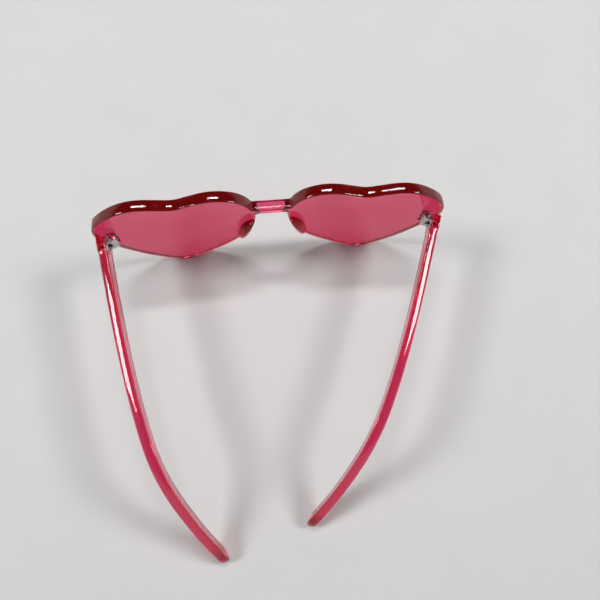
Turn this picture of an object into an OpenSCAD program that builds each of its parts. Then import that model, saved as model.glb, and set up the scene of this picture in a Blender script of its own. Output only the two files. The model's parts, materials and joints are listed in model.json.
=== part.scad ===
// Rimless heart shaped sunglasses, moulded in one colour of clear plastic.
// The wearer faces -Y, the wearer's left is +X and up is +Z. The glasses stand on a table, open,
// on the two heart tips and the two temple tips, and the origin lies under the middle of them.

/* [Front plate] */
// Width over both hearts
front_w = 150; // [136:1:164]
// Height of each heart, from its tip to its highest lobe
heart_h = 54.5; // [50:0.5:62]
// Thickness of the plate
plate_t = 5; // [3.6:0.1:6]
// Radius of the bend that wraps the plate towards the face
wrap_r = 620; // [450:10:1200]

/* [Bridge] */
// Distance between the hearts at the nose
bridge_w = 13.8; // [11:0.2:18]
// Height of the bridge bar
bridge_h = 4; // [3:0.1:5.5]
// From the top of the hearts down to the top of the bridge
bridge_drop = 11; // [9:0.1:13]
// Corner radius of the nose arch
arch_r = 2; // [1:0.1:3]

/* [Nose pads] */
// How far the pads stand back from the plate
pad_depth = 5; // [4:0.1:8]
// Length of each pad along the nose
pad_len = 15; // [12:0.5:20]
// Greatest thickness of each pad
pad_t = 3.6; // [2.5:0.1:4.5]
// From the top of the hearts down to the middle of the pads
pad_drop = 26; // [24:0.1:29]
// Angle at which the pads open towards the face
pad_splay = 10; // [0:1:18]
// Step from the nose side of the heart to the pad
pad_step = 0.3; // [0.1:0.05:0.6]
// How deep the pads are rooted in the plate
pad_root = 1; // [0.5:0.1:1.5]

/* [Temples] */
// Length of each temple, measured along its curve from above
temple_len = 142; // [130:0.5:155]
// Thickness of each temple
temple_t = 3.8; // [3:0.1:4.5]
// Height of each temple at the hinge
temple_front_h = 8.8; // [7.2:0.1:9.5]
// Height of each temple at half its length
temple_mid_h = 7; // [5:0.1:8]
// Height of each temple at the ear tip
temple_tip_h = 7.4; // [6.5:0.1:9]
// Radius of the long edges of each temple
temple_edge_r = 0.9; // [0.4:0.1:1.3]
// Length over which the ear tip rounds off
temple_tip_r = 4.4; // [3:0.1:6]
// Angle by which each temple turns inward from hinge to tip
bow_angle = 25.4; // [15:0.1:30]
// Share of that turn reached at half the length
bow_half_share = 0.177; // [0.12:0.005:0.5]
// Inward lean of an open temple at its hinge
open_lean = 9.9; // [8:0.1:12]
// How far each ear tip drops below the hinge line
ear_drop = 33.4; // [26:0.1:38]
// Distance from the hinge to the start of the drop
drop_start = 86.5; // [75:0.5:100]
// Length over which the drop sets in
drop_ease = 23.5; // [15:1:35]

/* [Hinges] */
// From the plate's outer end in to the hinge pin
hinge_in = 6.2; // [6:0.1:9]
// From the plate's back to the hinge pin
hinge_back = 1.4; // [1.3:0.1:1.8]
// Height of each hinge
hinge_h = 7.2; // [6:0.1:7.4]
// Diameter of the knuckles
knuckle_d = 3.5; // [3.2:0.1:3.8]
// Width of the pocket in the plate's back that the knuckles turn in
pocket_w = 4.3; // [4.2:0.1:5]
// Thickness of the leaf on the temple
leaf_t = 1; // [0.8:0.1:1.2]
// Length of the leaf behind the hinge pin
leaf_len = 5.2; // [4.5:0.1:8]
// Width of the foot in the floor of the pocket
foot_w = 3.6; // [3:0.1:4]
// Thickness of the foot
foot_t = 0.9; // [0.6:0.05:1.2]
// Diameter of the studs that hold the leaves in the plastic
stud_d = 1.4; // [1:0.1:1.7]
// Length of the studs in the plate
foot_stud_len = 1.8; // [1.2:0.1:2.2]
// Length of the stud in the temple
leaf_stud_len = 1.9; // [1:0.1:2]
// Diameter of the hinge screw's shank
screw_d = 1.4; // [1:0.1:1.6]
// Diameter of the screw's head
screw_head_d = 2.5; // [2:0.1:2.6]
// Height of the screw's head
screw_head_h = 0.55; // [0.4:0.05:0.8]
// Width of the screwdriver slot
slot_w = 0.4; // [0.3:0.05:0.6]
// Depth of the screwdriver slot
slot_depth = 0.3; // [0.2:0.05:0.35]

/* [Fits] */
// Radial clearance of the screw in the knuckles that turn on it
screw_clear = 0.04; // [0.02:0.01:0.08]
// Radial clearance of the screw in the threaded knuckle
thread_clear = 0.01; // [0.005:0.005:0.02]
// Gap between neighbouring knuckles
knuckle_gap = 0.1; // [0.05:0.01:0.2]
// Gap between pieces that move past each other
part_gap = 0.3; // [0.25:0.05:0.4]
// Clearance round metal that is set into plastic
inset_clear = 0.02; // [0.01:0.01:0.05]

/* [Pose] */
// How far the left temple is folded in
left_fold_angle = 0; // [0:0.1:60]
// How far the right temple is folded in
right_fold_angle = 11.3; // [0:0.1:60]

/* [Hidden] */

// Overrun of cuts past the faces that they open
cut = 1;
// Facets of small round features, and of the wide bend of the plate
round_fn = 48;
wrap_fn = 360;

// Outline of a heart, anticlockwise from its nose side, as shares of its width and height
heart_shares = [
    [0, 0.675], [0.021, 0.571], [0.059, 0.457], [0.117, 0.336], [0.201, 0.229], [0.302, 0.136],
    [0.386, 0.066], [0.457, 0.018], [0.523, 0], [0.589, 0.018], [0.648, 0.068], [0.714, 0.141],
    [0.783, 0.229], [0.841, 0.321], [0.891, 0.411], [0.944, 0.514], [0.985, 0.607], [1, 0.706],
    [0.985, 0.806], [0.94, 0.875], [0.868, 0.941], [0.79, 0.985], [0.718, 1], [0.652, 0.99],
    [0.574, 0.963], [0.486, 0.936], [0.398, 0.96], [0.317, 0.987], [0.244, 0.994], [0.169, 0.976],
    [0.095, 0.928], [0.04, 0.85], [0.009, 0.758]];
// Steps of the smooth curve between two points of the outline
heart_steps = 4;

heart_w = (front_w - bridge_w) / 2;
bridge_top_z = heart_h - bridge_drop;
bridge_low_z = bridge_top_z - bridge_h;
// How far the bridge bar runs into each heart
bridge_root = arch_r + bridge_h / 2;

// Where the nose side of the heart passes the pads, as a share of its width, and its slant there
pad_in_share = 0.055;
pad_z = heart_h - pad_drop;
pad_x = bridge_w / 2 + heart_w * pad_in_share;
pad_slant = 25;

// Places of the hinge pin and of the temple beside it
pin_angle = asin((front_w / 2 - hinge_in) / wrap_r);
pin_r = wrap_r - plate_t - hinge_back;
pin_x = pin_r * sin(pin_angle);
pin_y = wrap_r - pin_r * cos(pin_angle);
lean_gap = open_lean - pin_angle;
leaf_x = knuckle_d / 2 + part_gap;
inner_x = leaf_x + part_gap;
temple_x = inner_x + temple_t / 2;

// Three knuckles fill the hinge's height, and a web as wide as this share of them joins the foot
knuckle_h = (hinge_h - 2 * knuckle_gap) / 3;
web_share = 0.6;
// The floor of the pocket leaves the knuckles free, and the foot lies flush with it
floor_y = -knuckle_d / 2 - part_gap;
foot_y = floor_y - foot_t;
// Places of the studs, as shares of the hinge's height and of the leaf's length
foot_stud_share = 0.28;
leaf_stud_share = 0.45;
foot_stud_z = hinge_h * foot_stud_share;
leaf_stud_y = leaf_len * leaf_stud_share;

// Rings along a temple, and points on a quarter of each long edge
temple_steps = 40;
tip_steps = 6;
edge_steps = 3;
// Share of the thickness and height that is left at the very tip
tip_end_share = 0.35;

function spline_point(p, i, t) =
    let (n = len(p), a = p[(i + n - 1) % n], b = p[i], c = p[(i + 1) % n], d = p[(i + 2) % n])
    (2 * b + (c - a) * t + (2 * a - 5 * b + 4 * c - d) * t * t + (3 * b - a - 3 * c + d) * t * t * t) / 2;

function heart_points() = [
    for (i = [0 : len(heart_shares) - 1], k = [0 : heart_steps - 1])
        let (s = spline_point(heart_shares, i, k / heart_steps))
        [bridge_w / 2 + heart_w * s.x, heart_h * s.y]];

function ellipse_points(a, b) = [
    for (k = [0 : round_fn - 1])
        [a * cos(360 * k / round_fn), b * sin(360 * k / round_fn)]];

// Height of a temple at a share s of its length, through its three given heights
function temple_h(s) =
    temple_front_h * (1 - 2 * s) * (1 - s) + temple_mid_h * 4 * s * (1 - s) + temple_tip_h * s * (2 * s - 1);

// Fall of a temple's centre line at a length q along it: level, easing in, then straight
function fall_length(q) =
    q < drop_start ? 0
    : q < drop_start + drop_ease ? pow(q - drop_start, 2) / (2 * drop_ease)
    : q - drop_start - drop_ease / 2;
function fall_slope(q) = max(0, min(1, (q - drop_start) / drop_ease)) * ear_drop / fall_length(temple_len);

// Lengths along the temple at which its rings stand, closer together where the tip rounds off
ring_lengths = concat(
    [for (k = [0 : temple_steps - 1]) (temple_len - temple_tip_r) * k / temple_steps],
    [for (k = [0 : tip_steps]) temple_len - temple_tip_r * (1 - sin(acos(tip_end_share) * k / tip_steps)
        / sin(acos(tip_end_share)))]);
function turn_at(q) = bow_angle * pow(q / temple_len, ln(bow_half_share) / ln(0.5));

// Centre line of a temple, from its front end, running along +Y and turning towards -X
temple_front_y = -hinge_back / cos(lean_gap) - inner_x * tan(lean_gap) + part_gap;
centre_line = [
    for (k = 0, p = [temple_x, temple_front_y]; k < len(ring_lengths);
        m = k + 1 < len(ring_lengths) ? (ring_lengths[k] + ring_lengths[k + 1]) / 2 : 0,
        d = k + 1 < len(ring_lengths) ? ring_lengths[k + 1] - ring_lengths[k] : 0,
        p = p + d * [-sin(turn_at(m)), cos(turn_at(m))], k = k + 1)
    [p.x, p.y, -ear_drop * fall_length(ring_lengths[k]) / fall_length(temple_len)]];

// How much is left of a ring's size where the tip rounds off
function tip_share(q) = q < temple_len - temple_tip_r ? 1
    : cos(asin(min(1, sin(acos(tip_end_share)) * (q - temple_len + temple_tip_r) / temple_tip_r)));

// One ring of a temple: a rectangle with rounded corners, square to the centre line
function ring(k) =
    let (q = ring_lengths[k], turn = turn_at(q), pitch = atan(fall_slope(q)), left = tip_share(q),
        a = temple_t / 2 * sqrt(left), b = temple_h(q / temple_len) / 2 * left, r = min(temple_edge_r, a, b),
        out = [cos(turn), sin(turn), 0], up = [-sin(turn) * sin(pitch), cos(turn) * sin(pitch), cos(pitch)])
    [for (c = [0 : 3], e = [0 : edge_steps])
        let (w = 90 * (c + e / edge_steps), x = (c == 0 || c == 3 ? a - r : r - a), y = c < 2 ? b - r : r - b)
        centre_line[k] + out * (x + r * cos(w)) + up * (y + r * sin(w))];

ring_size = 4 * (edge_steps + 1);
temple_points = [for (k = [0 : len(ring_lengths) - 1]) each ring(k)];
temple_faces = concat(
    [[for (j = [0 : ring_size - 1]) j]],
    [for (k = [0 : len(ring_lengths) - 2], j = [0 : ring_size - 1])
        let (n = (j + 1) % ring_size, a = k * ring_size)
        each [[a + j, a + ring_size + j, a + ring_size + n], [a + j, a + ring_size + n, a + n]]],
    [[for (j = [ring_size - 1 : -1 : 0]) (len(ring_lengths) - 1) * ring_size + j]]);

// The tips stand on the table at the height of the heart tips, which sets how high the hinges sit
pin_z = -min([for (p = temple_points) p.z]);

// The depth over plate and temples, which puts the origin midway
function turned_y(p, a) = pin_y + p.x * sin(a) + p.y * cos(a);
depth = max([for (p = temple_points, fold = [left_fold_angle, right_fold_angle]) turned_y(p, open_lean + fold)]);

clear_pink = [0.83, 0.13, 0.32];
steel = [0.75, 0.75, 0.76];

module in_frame() {
    translate([0, -depth / 2, 0])
        children();
}

// What stands at a hinge pin, drawn for the left side and mirrored for the right
module at_pin(side, angle) {
    in_frame()
        mirror([side < 0 ? 1 : 0, 0, 0])
            translate([pin_x, pin_y, pin_z])
                rotate([0, 0, angle])
                    children();
}

module heart_pair_2d() {
    polygon(heart_points());
    mirror([1, 0])
        polygon(heart_points());
}

// Bridge bar with the rounded corners of the nose arch below it
module bridge_2d() {
    side = bridge_w / 2;
    low = bridge_low_z - arch_r;
    difference() {
        translate([-side - bridge_root, low])
            square([2 * (side + bridge_root), bridge_top_z - low]);
        translate([-side, low - arch_r])
            square([2 * side, arch_r]);
        translate([arch_r - side, low - arch_r])
            square([2 * (side - arch_r), 2 * arch_r]);
        for (s = [-1, 1])
            translate([s * (side - arch_r), low])
                circle(r = arch_r, $fn = round_fn);
    }
}

// A sheet as thick as the plate, bent towards the face
module wrapped_sheet() {
    translate([0, wrap_r, -cut])
        difference() {
            cylinder(r = wrap_r, h = heart_h + 2 * cut, $fn = wrap_fn);
            translate([0, 0, -cut])
                cylinder(r = wrap_r - plate_t, h = heart_h + 4 * cut, $fn = wrap_fn);
        }
}

// A flat shape stood upright and given a thickness towards the back
module upright(thickness) {
    translate([0, thickness, 0])
        rotate([90, 0, 0])
            linear_extrude(thickness)
                children();
}

// A nose pad: half an ellipse along the nose side of the heart, rounded off towards the face
module nose_pad() {
    intersection() {
        translate([pad_x, plate_t, 0])
            rotate([0, 0, -pad_splay])
                translate([pad_step - pad_x, -pad_root, 0])
                    upright(pad_depth + plate_t)
                        intersection() {
                            polygon(heart_points());
                            translate([pad_x, pad_z])
                                rotate(pad_slant)
                                    polygon(ellipse_points(pad_t, pad_len / 2));
                        }
        translate([0, plate_t, pad_z])
            rotate([90, 0, 90])
                linear_extrude(front_w / 2)
                    polygon(ellipse_points(pad_depth, pad_len / 2));
    }
}

// Foot of a front hinge leaf and its studs, wider all round by gap for its recess
module foot(gap) {
    translate([-foot_w / 2 - gap, foot_y - gap, -hinge_h / 2 - gap])
        cube([foot_w + 2 * gap, foot_t + gap, hinge_h + 2 * gap]);
    for (z = [-foot_stud_z, foot_stud_z])
        translate([0, foot_y + gap, z])
            rotate([90, 0, 0])
                cylinder(d = stud_d + 2 * gap, h = foot_stud_len + 2 * gap, $fn = round_fn);
}

// Pocket in the plate's back for the knuckles, open towards the temple
module knuckle_pocket() {
    translate([-pocket_w / 2, floor_y, -hinge_h / 2 - part_gap])
        cube([pocket_w, cut - floor_y, hinge_h + 2 * part_gap]);
}

// Leaf on the temple's inner face and its stud, wider all round by gap for the recess
module leaf(gap) {
    translate([leaf_x, temple_front_y, -hinge_h / 2 - gap])
        cube([leaf_t + gap, leaf_len - temple_front_y + gap, hinge_h + 2 * gap]);
    translate([leaf_x + leaf_t - gap, leaf_stud_y, 0])
        rotate([0, 90, 0])
            cylinder(d = stud_d + 2 * gap, h = leaf_stud_len + 2 * gap, $fn = round_fn);
}

module front_plate() {
    color(clear_pink) {
        difference() {
            in_frame()
                union() {
                    intersection() {
                        wrapped_sheet();
                        upright(front_w / 4)
                            union() {
                                heart_pair_2d();
                                bridge_2d();
                            }
                    }
                    nose_pad();
                    mirror([1, 0, 0])
                        nose_pad();
                }
            for (side = [-1, 1])
                at_pin(side, pin_angle) {
                    knuckle_pocket();
                    foot(inset_clear);
                }
        }
    }
}

module temple(side, fold) {
    color(clear_pink)
        at_pin(side, open_lean + fold)
            difference() {
                polyhedron(points = temple_points, faces = temple_faces, convexity = 4);
                leaf(inset_clear);
                translate([leaf_x, temple_front_y - cut, -hinge_h / 2 - inset_clear])
                    cube([leaf_t + inset_clear, 2 * cut, hinge_h + 2 * inset_clear]);
            }
}

module left_temple() {
    temple(1, left_fold_angle);
}

module right_temple() {
    temple(-1, right_fold_angle);
}

module front_hinge(side) {
    color(steel)
        at_pin(side, pin_angle)
            difference() {
                union() {
                    foot(0);
                    translate([0, 0, -knuckle_h / 2])
                        cylinder(d = knuckle_d, h = knuckle_h, $fn = round_fn);
                    translate([-web_share * knuckle_d / 2, floor_y - foot_t / 2, -knuckle_h / 2])
                        cube([web_share * knuckle_d, foot_t / 2 - floor_y, knuckle_h]);
                }
                translate([0, 0, -hinge_h / 2])
                    cylinder(r = screw_d / 2 + screw_clear, h = hinge_h, $fn = round_fn);
            }
}

module left_front_hinge() {
    front_hinge(1);
}

module right_front_hinge() {
    front_hinge(-1);
}

module temple_hinge(side, fold) {
    color(steel)
        at_pin(side, open_lean + fold)
            difference() {
                union() {
                    leaf(0);
                    for (z = [-hinge_h / 2, hinge_h / 2 - knuckle_h])
                        translate([0, 0, z]) {
                            cylinder(d = knuckle_d, h = knuckle_h, $fn = round_fn);
                            cube([leaf_x + leaf_t / 2, knuckle_d / 2, knuckle_h]);
                        }
                }
                translate([0, 0, -hinge_h / 2 - cut])
                    cylinder(r = screw_d / 2 + thread_clear, h = hinge_h / 2 + cut, $fn = round_fn);
                cylinder(r = screw_d / 2 + screw_clear, h = hinge_h / 2 + cut, $fn = round_fn);
                translate([0, 0, hinge_h / 2 - screw_head_h])
                    cylinder(r = screw_head_d / 2 + screw_clear, h = screw_head_h + cut, $fn = round_fn);
            }
}

module left_temple_hinge() {
    temple_hinge(1, left_fold_angle);
}

module right_temple_hinge() {
    temple_hinge(-1, right_fold_angle);
}

module hinge_screw(side, fold) {
    color(steel)
        at_pin(side, open_lean + fold)
            difference() {
                union() {
                    translate([0, 0, -hinge_h / 2])
                        cylinder(d = screw_d, h = hinge_h - screw_head_h / 2, $fn = round_fn);
                    translate([0, 0, hinge_h / 2 - screw_head_h])
                        cylinder(d = screw_head_d, h = screw_head_h, $fn = round_fn);
                }
                translate([-screw_head_d / 2 - cut, -slot_w / 2, hinge_h / 2 - slot_depth])
                    cube([screw_head_d + 2 * cut, slot_w, slot_depth + cut]);
            }
}

module left_hinge_screw() {
    hinge_screw(1, left_fold_angle);
}

module right_hinge_screw() {
    hinge_screw(-1, right_fold_angle);
}

front_plate();
left_temple();
right_temple();
left_front_hinge();
right_front_hinge();
left_temple_hinge();
right_temple_hinge();
left_hinge_screw();
right_hinge_screw();
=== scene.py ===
import json
import math

import bmesh
import bpy
import numpy as np
from mathutils import Matrix, Vector
from mathutils.geometry import delaunay_2d_cdt


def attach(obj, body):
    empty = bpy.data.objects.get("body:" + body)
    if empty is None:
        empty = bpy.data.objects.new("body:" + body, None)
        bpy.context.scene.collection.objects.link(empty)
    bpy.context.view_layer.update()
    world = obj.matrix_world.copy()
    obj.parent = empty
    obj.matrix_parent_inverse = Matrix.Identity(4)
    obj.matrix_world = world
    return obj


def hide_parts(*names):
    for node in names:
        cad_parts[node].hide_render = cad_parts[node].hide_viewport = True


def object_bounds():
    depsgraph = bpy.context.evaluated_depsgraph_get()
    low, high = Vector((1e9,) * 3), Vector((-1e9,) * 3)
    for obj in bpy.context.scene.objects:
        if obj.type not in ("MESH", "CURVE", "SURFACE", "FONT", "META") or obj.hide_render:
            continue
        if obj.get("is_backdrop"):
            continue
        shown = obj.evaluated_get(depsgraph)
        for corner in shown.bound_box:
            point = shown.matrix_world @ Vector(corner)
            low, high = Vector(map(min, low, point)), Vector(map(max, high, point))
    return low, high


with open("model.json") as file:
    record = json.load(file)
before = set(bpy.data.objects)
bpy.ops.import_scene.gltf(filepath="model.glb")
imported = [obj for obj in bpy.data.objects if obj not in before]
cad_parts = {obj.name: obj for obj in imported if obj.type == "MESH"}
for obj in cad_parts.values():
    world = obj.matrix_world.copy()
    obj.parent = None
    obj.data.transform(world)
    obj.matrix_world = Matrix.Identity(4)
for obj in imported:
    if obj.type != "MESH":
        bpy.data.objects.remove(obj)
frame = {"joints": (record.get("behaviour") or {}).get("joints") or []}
cad_low, cad_high = (Vector(corner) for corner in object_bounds())

# FRONT PLATE
# One thick moulding of clear pink polycarbonate: two hearts, the bridge and two nose pads.
# Its polished edges have a light crown where the two halves of the mould meet, and its back has
# a shallow pocket at each end that the hinge is pressed into. Sizes are in millimetres.
front_w = 150.0
heart_h = 54.49
plate_t = 5.0
wrap_r = 620.0
bridge_w = 13.8
bridge_h = 4.0
bridge_drop = 11.0
arch_r = 2.0
bridge_corner_r = 1.1
edge_round = 0.45
bridge_round = 1.15
face_rim = 1.15
band_wear_and_glow = 0.3
edge_crown = 0.19
bridge_ease = 3.0
outline_step = 0.45
corner_reach = 8
arch_steps = 12
round_steps = 8
band_rows = 12
face_grid = 2.4
grid_margin = 0.45
hinge_in = 6.2
hinge_back = 1.4
hinge_h = 7.2
part_gap = 0.3
inset_clear = 0.02
same_point = 1e-5
tiny = 1e-6
MM = 0.001

# Outline of a heart, from its nose side round its tip, as shares of its width and height
heart_shares = [
    (0, 0.675), (0.021, 0.571), (0.059, 0.457), (0.117, 0.336), (0.201, 0.229), (0.302, 0.136),
    (0.386, 0.066), (0.457, 0.018), (0.523, 0), (0.589, 0.018), (0.648, 0.068), (0.714, 0.141),
    (0.783, 0.229), (0.841, 0.321), (0.891, 0.411), (0.944, 0.514), (0.985, 0.607), (1, 0.706),
    (0.985, 0.806), (0.94, 0.875), (0.868, 0.941), (0.79, 0.985), (0.718, 1), (0.652, 0.99),
    (0.574, 0.963), (0.486, 0.936), (0.398, 0.96), (0.317, 0.987), (0.244, 0.994), (0.169, 0.976),
    (0.095, 0.928), (0.04, 0.85), (0.009, 0.758)]
spline_steps = 20
heart_w = (front_w - bridge_w) / 2
bridge_top = heart_h - bridge_drop
bridge_low = bridge_top - bridge_h


def heart_curve():
    """The heart on the wearer's left, as a closed smooth curve through the given points"""
    curve = []
    count = len(heart_shares)
    for i in range(count):
        a, b, c, d = (np.array(heart_shares[(i + k) % count], float) for k in (-1, 0, 1, 2))
        for t in np.arange(spline_steps) / spline_steps:
            x, z = (2 * b + (c - a) * t + (2 * a - 5 * b + 4 * c - d) * t**2
                    + (3 * b - a - 3 * c + d) * t**3) / 2
            curve.append((bridge_w / 2 + heart_w * x, heart_h * z))
    return np.array(curve)


def rounded_corner(before, corner, after, radius, count=10):
    """Points of the arc that rounds off a corner, and the length it takes off each side"""
    to_before = (before - corner) / np.linalg.norm(before - corner)
    to_after = (after - corner) / np.linalg.norm(after - corner)
    half = math.acos(np.clip(to_before @ to_after, -1, 1)) / 2
    middle = (to_before + to_after) / np.linalg.norm(to_before + to_after)
    centre = corner + middle * radius / math.sin(half)
    start = corner + to_before * radius / math.tan(half) - centre
    end = corner + to_after * radius / math.tan(half) - centre
    total = math.acos(np.clip(start @ end / radius**2, -1, 1))
    points = [centre + (start * math.sin((1 - k) * total) + end * math.sin(k * total)) / math.sin(total)
              for k in np.linspace(0, 1, count)]
    return points, radius / math.tan(half)


heart = heart_curve()

# The heart's outline is cut where the bridge's top meets it, and the corner is rounded there
last = next(i for i in range(len(heart) - 1, 0, -1) if heart[i][1] > bridge_top)
share = (heart[last][1] - bridge_top) / (heart[last][1] - heart[last + 1][1])
corner = heart[last] + share * (heart[last + 1] - heart[last])
towards_nose = np.array([-1.0, 0])
arc, trim = rounded_corner(heart[last - corner_reach], corner, corner + towards_nose, bridge_corner_r)
flank = [p for p in heart[:last + 1] if not (np.linalg.norm(p - corner) < trim and p[1] > bridge_top)]
arch = [np.array([bridge_w / 2 - arch_r + arch_r * math.cos(a), bridge_low - arch_r + arch_r * math.sin(a)])
        for a in np.linspace(math.pi / 2, 0, arch_steps)]
half_outline = arch + flank + arc
mirror_x = np.array([-1.0, 1.0])
outline = np.array(half_outline + [p * mirror_x for p in reversed(half_outline)])

# The outline at even steps, and its outward normals
closed = np.vstack([outline, outline[:1]])
run = np.concatenate([[0], np.cumsum(np.linalg.norm(np.diff(closed, axis=0), axis=1))])
keep = np.concatenate([[True], np.diff(run) > tiny])
spots = np.linspace(0, run[-1], int(run[-1] / outline_step) + 1)[:-1]
outline = np.stack([np.interp(spots, run[keep], closed[keep][:, k]) for k in (0, 1)], 1)
along = np.roll(outline, -1, axis=0) - np.roll(outline, 1, axis=0)
along /= np.linalg.norm(along, axis=1)[:, None]
outward = np.stack([along[:, 1], -along[:, 0]], 1)

# The crown, the rubbing of the edge and its painted red glow belong to the hearts and fade out
# along the bridge, whose edges are rounded further instead
on_heart = np.clip((np.abs(outline[:, 0]) - bridge_w / 2) / bridge_ease, 0, 1)
on_heart = on_heart * on_heart * (3 - 2 * on_heart)
crown_here = edge_crown * on_heart
round_here = bridge_round + (edge_round - bridge_round) * on_heart


def ring_at(inset, w):
    """The outline stepped in by the inset, and by the crown at the depths w in the plate"""
    return outline - outward * (inset + crown_here * (2 * w / plate_t - 1) ** 2)[:, None]


def edge_profile():
    """(steps in from the outline, depths, rubbing and painted glow) from the front face to the back face"""
    turns = np.linspace(0, math.pi / 2, round_steps)
    steps = [(round_here * (1 - math.sin(a)), round_here * (1 - math.cos(a))) for a in turns]
    rows = [(round_here * face_rim, 0 * round_here, 0.0)]
    rows += [(inset, w, 1.0) for inset, w in steps]
    rows += [(0 * round_here, round_here + (plate_t - 2 * round_here) * k, band_wear_and_glow)
             for k in np.linspace(0, 1, band_rows)[1:-1]]
    rows += [(inset, plate_t - w, 1.0) for inset, w in steps[::-1]]
    rows += [(round_here * face_rim, plate_t + 0 * round_here, 0.0)]
    return rows


def wrapped(x, z, w):
    """A point of the flat plate, at a depth w behind its front face, bent towards the wearer's face"""
    return Vector((x, wrap_r - math.sqrt((wrap_r - w) ** 2 - x * x), z))


def inner_grid(border):
    """Points of an even grid that lie well inside the border"""
    xs = np.arange(-front_w / 2, front_w / 2, face_grid)
    zs = np.arange(0, heart_h, face_grid)
    grid = np.array([(x, z) for x in xs for z in zs])
    a, b = border, np.roll(border, -1, axis=0)
    rise = np.where(b[:, 1] == a[:, 1], 1, b[:, 1] - a[:, 1])
    inside = []
    for p in grid:
        near = np.min(np.linalg.norm(border - p, axis=1))
        crossing = (a[:, 1] > p[1]) != (b[:, 1] > p[1])
        at = a[:, 0] + (p[1] - a[:, 1]) / rise * (b[:, 0] - a[:, 0])
        if near > face_grid * grid_margin and np.count_nonzero(crossing & (p[0] < at)) % 2:
            inside.append(tuple(p))
    return inside


def plate_mesh():
    """The plate: its edge ring by ring, and both faces with enough points to follow the bend"""
    bm = bmesh.new()
    wear_and_glow_layer = bm.verts.layers.float.new("edge_wear")
    rows = []
    for inset, w, wear_and_glow in edge_profile():
        ring = []
        for p, depth, heart_share in zip(ring_at(inset, w), w, on_heart):
            v = bm.verts.new(wrapped(p[0], p[1], depth))
            # How rubbed each point's edge is, which also sets how strongly the painted red glow shows
            v[wear_and_glow_layer] = wear_and_glow * heart_share
            ring.append(v)
        rows.append(ring)
    count = len(outline)
    for lower, upper in zip(rows, rows[1:]):
        for i in range(count):
            j = (i + 1) % count
            bm.faces.new((lower[i], upper[i], upper[j], lower[j]))
    for ring, w in ((rows[0], 0.0), (rows[-1], plate_t)):
        border = ring_at(round_here * face_rim, w)
        flat = [Vector(p) for p in border] + [Vector(p) for p in inner_grid(border)]
        made, _, triangles, origin, _, _ = delaunay_2d_cdt(flat, [], [list(range(count))], 1, tiny)
        verts = []
        for place, source in zip(made, origin):
            on_ring = [k for k in source if k < count]
            verts.append(ring[on_ring[0]] if on_ring else bm.verts.new(wrapped(place[0], place[1], w)))
        for triangle in triangles:
            bm.faces.new([verts[k] for k in triangle])
    bmesh.ops.recalc_face_normals(bm, faces=bm.faces)
    mesh = bpy.data.meshes.new("front_plate_flat")
    bm.to_mesh(mesh)
    bm.free()
    return mesh


def linked(name, mesh):
    """An object of the scene that shows a mesh"""
    obj = bpy.data.objects.new(name, mesh)
    bpy.context.scene.collection.objects.link(obj)
    return obj


def boolean(base, tool, operation):
    """Joins the tool to the base mesh, or cuts it out"""
    base_obj, tool_obj = linked("base", base), linked("tool", tool)
    step = base_obj.modifiers.new("combine", "BOOLEAN")
    step.object, step.operation, step.solver = tool_obj, operation, "EXACT"
    depsgraph = bpy.context.evaluated_depsgraph_get()
    result = bpy.data.meshes.new_from_object(base_obj.evaluated_get(depsgraph))
    for obj in (base_obj, tool_obj):
        mesh = obj.data
        bpy.data.objects.remove(obj)
        bpy.data.meshes.remove(mesh)
    return result


def soft_box(low, high, bevel, segments=3):
    """A box with rounded edges, as a bmesh"""
    bm = bmesh.new()
    bmesh.ops.create_cube(bm, size=1)
    low, high = Vector(low), Vector(high)
    for v in bm.verts:
        v.co = Vector(((v.co[k] + 0.5) * (high[k] - low[k]) + low[k] for k in range(3)))
    if bevel:
        bmesh.ops.bevel(bm, geom=bm.edges[:], offset=bevel, segments=segments, profile=0.5,
                        affect="EDGES")
    return bm


def lathed(profile, turns=48):
    """A closed round body about the Z axis from a list of (radius, height), as a bmesh"""
    bm = bmesh.new()
    verts = [bm.verts.new((r, 0, z)) for r, z in profile]
    edges = [bm.edges.new((a, b)) for a, b in zip(verts, verts[1:])]
    bmesh.ops.spin(bm, geom=verts + edges, cent=(0, 0, 0), axis=(0, 0, 1), angle=math.tau, steps=turns,
                   use_merge=True, use_normal_flip=False)
    bmesh.ops.remove_doubles(bm, verts=bm.verts, dist=same_point)
    bmesh.ops.recalc_face_normals(bm, faces=bm.faces)
    return bm


def merged(parts):
    """One mesh from several bmeshes, each with the place that it is moved to"""
    whole = bmesh.new()
    for bm, place in parts:
        bmesh.ops.transform(bm, matrix=place, verts=bm.verts)
        if place.determinant() < 0:
            bmesh.ops.reverse_faces(bm, faces=bm.faces)
        scratch = bpy.data.meshes.new("scratch")
        bm.to_mesh(scratch)
        bm.free()
        whole.from_mesh(scratch)
        bpy.data.meshes.remove(scratch)
    mesh = bpy.data.meshes.new("merged")
    whole.to_mesh(mesh)
    whole.free()
    return mesh


def mesh_of(bm, place=Matrix.Identity(4)):
    """The mesh of one bmesh, moved to a place"""
    return merged([(bm, place)])


# The nose pads stand on the back of the plate along the nose side of each heart. Each is half an
# oval, thickest in the middle and rounded off towards the face, and opens a little towards it.
pad_depth = 5.0
pad_len = 15.0
pad_t = 3.6
pad_drop = 26.0
pad_splay = math.radians(10)
pad_slant = math.radians(25)
pad_step = 0.3
pad_root = 1.0
pad_dome = 1.6
pad_dome_limit = 0.9
pad_dome_wear_and_glow = 0.6
pad_side_wear_and_glow = 0.3
pad_place = 0.055
pad_least_t = 0.02
pad_levels = 400
pad_rings = 31
dome_steps = 19
nose_spans = 8
pad_z = heart_h - pad_drop
pad_x = bridge_w / 2 + heart_w * pad_place


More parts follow.
